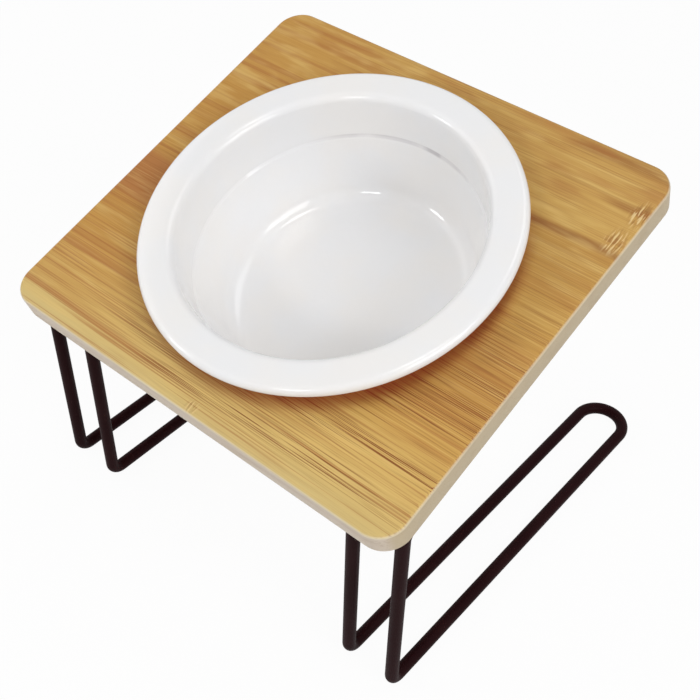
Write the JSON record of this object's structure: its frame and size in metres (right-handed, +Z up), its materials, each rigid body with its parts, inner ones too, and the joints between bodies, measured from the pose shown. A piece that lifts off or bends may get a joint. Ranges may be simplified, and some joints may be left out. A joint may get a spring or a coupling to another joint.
{
  "type": "pet bowl stand",
  "caption": "Raised tilted feeding stand: a bamboo board with a round hole on bent wire hairpin legs, holding a loose wide-rimmed white bowl.",
  "frame": {"origin": "on the floor, under the middle of the stand's outline seen from above", "axes": "+X to the right seen from the low front edge, +Y to the high rear edge, +Z up"},
  "size_m": [0.2, 0.2078, 0.1738],
  "materials": {
    "bamboo": "laminated bamboo, clear matt lacquer",
    "glaze": "gloss white glaze",
    "powder_coat": "dark brown-black matt powder coat on steel wire",
    "screw_steel": "zinc-plated steel"
  },
  "bodies": {
    "stand": {"bamboo_board": "bamboo", "left_leg_wire": "powder_coat", "right_leg_wire": "powder_coat", "left_front_tab": "powder_coat", "left_rear_tab": "powder_coat", "right_front_tab": "powder_coat", "right_rear_tab": "powder_coat", "left_front_screw": "screw_steel", "left_rear_screw": "screw_steel", "right_front_screw": "screw_steel", "right_rear_screw": "screw_steel"},
    "bowl": {"bowl": "glaze"}
  },
  "joints": [
    {"name": "bowl_lift", "type": "slide", "parent": "stand", "child": "bowl", "axis": [0, -0.3173, 0.9483], "range_m": [0, 0.07]}
  ]
}
